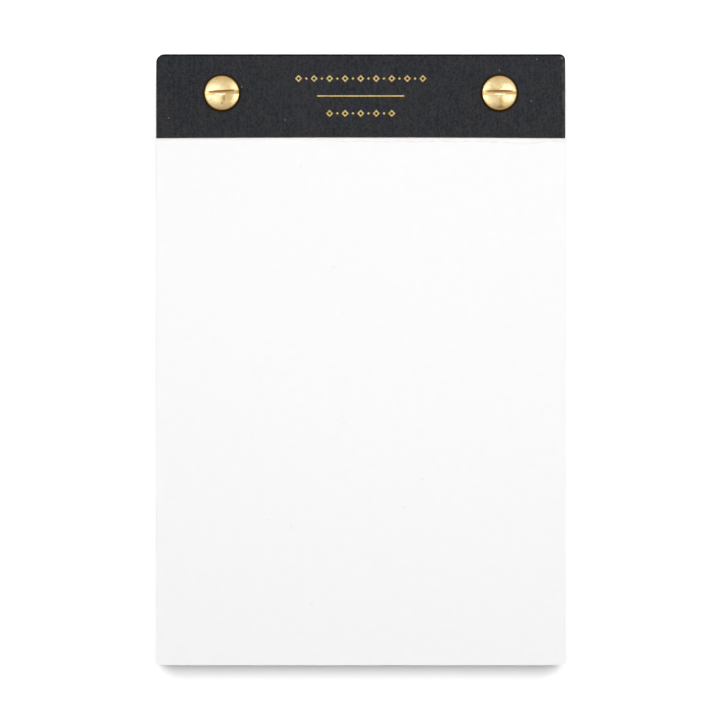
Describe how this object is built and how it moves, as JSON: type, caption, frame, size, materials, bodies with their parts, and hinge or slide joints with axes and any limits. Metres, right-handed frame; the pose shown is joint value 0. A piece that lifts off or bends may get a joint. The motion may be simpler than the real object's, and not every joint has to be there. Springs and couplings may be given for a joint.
{
  "type": "screw-bound note pad",
  "caption": "Top-bound white note pad: sheets on a chipboard backing, clamped along the head under a dark cloth-faced strip by slotted brass binding screws and posts.",
  "frame": {"origin": "under the middle of the pad's outline, level with the undersides of the two post heads", "axes": "+X is the reader's right, +Y runs towards the bound head, +Z comes out of the front face"},
  "size_m": [0.108, 0.1616, 0.0116],
  "materials": {
    "chipboard": "raw grey-brown board",
    "paper": "uncoated white",
    "board_core": "raw brown board",
    "strip_cloth": "matt charcoal book cloth",
    "gold_foil": "satin stamped foil",
    "brass": "plain brass, lightly tarnished"
  },
  "bodies": {
    "root": {"backing_board": "chipboard", "paper_block": "paper", "torn_stub": "paper", "strip_board": "board_core", "strip_cloth": "strip_cloth", "foil_ornament": "gold_foil", "left_screw": "brass", "right_screw": "brass", "left_post": "brass", "right_post": "brass"}
  },
  "joints": []
}
